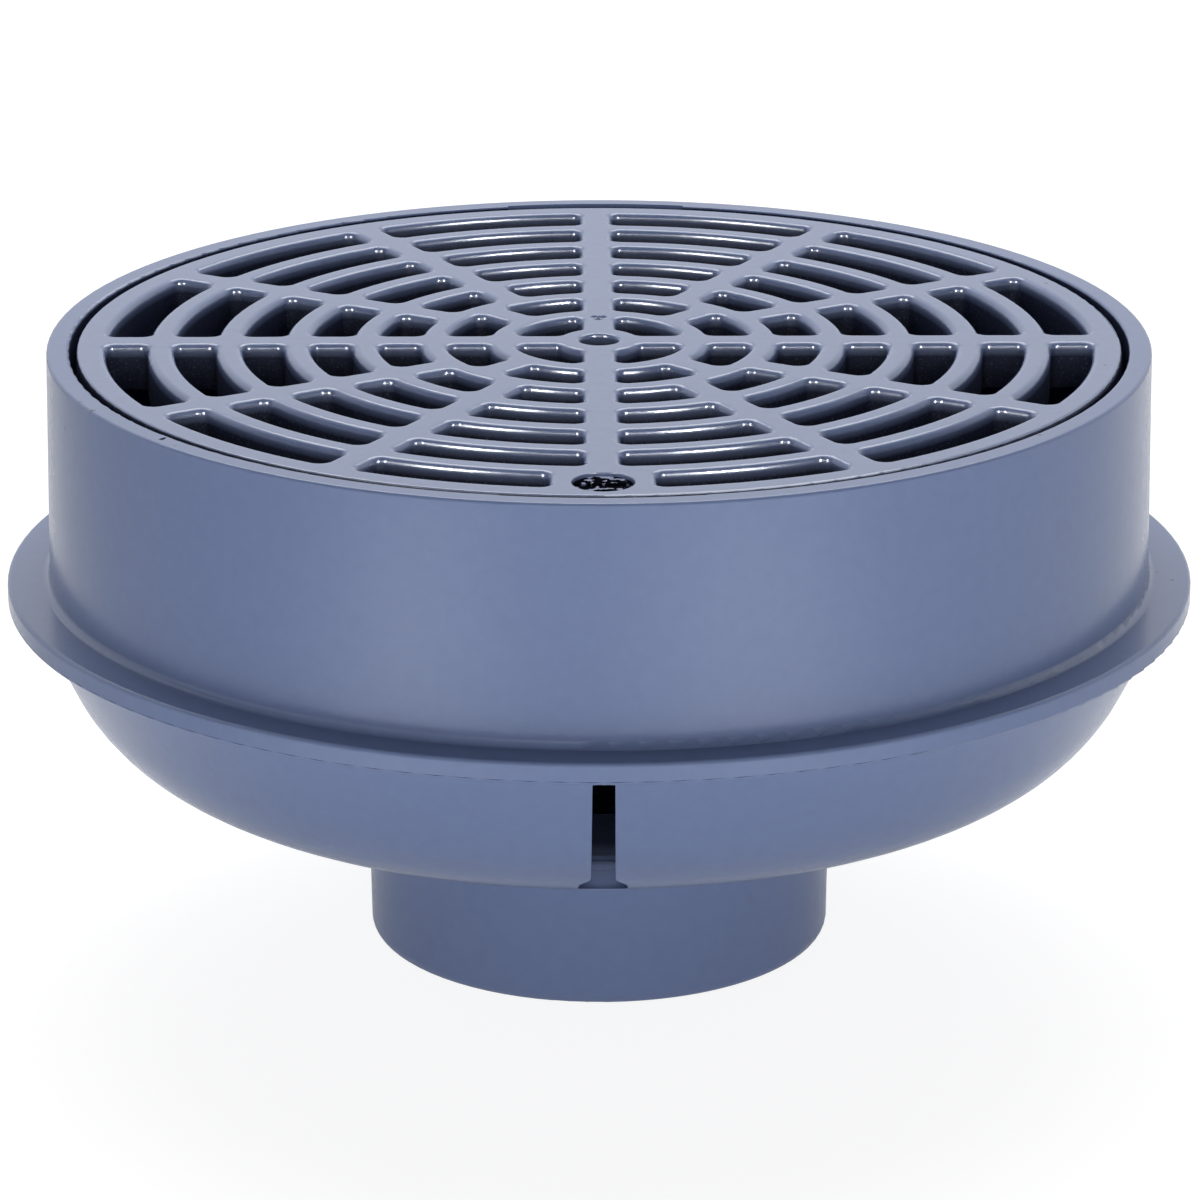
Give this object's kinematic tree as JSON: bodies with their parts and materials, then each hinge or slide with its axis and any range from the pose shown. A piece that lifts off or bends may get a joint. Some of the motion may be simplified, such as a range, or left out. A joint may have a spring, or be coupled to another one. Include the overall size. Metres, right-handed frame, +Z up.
{
  "type": "floor drain",
  "caption": "Round cast floor drain with a slotted grate held by a countersunk screw, a seepage flange, a shallow bowl and a threaded bottom outlet.",
  "frame": {"origin": "centre of the outlet neck's bottom face", "axes": "+Z up along the drain's axis, the grate screw and the weep slot towards -Y"},
  "size_m": [0.3296, 0.3296, 0.1725],
  "materials": {
    "body_enamel": "slate blue-grey enamel over a fine-grained casting, satin",
    "grate_enamel": "slate blue-grey enamel over a fine-grained casting, satin",
    "screw_steel": "dark, rough, partly filled with enamel"
  },
  "bodies": {
    "root": {"drain_body": "body_enamel", "grate": "grate_enamel", "grate_screw": "screw_steel"}
  },
  "joints": []
}
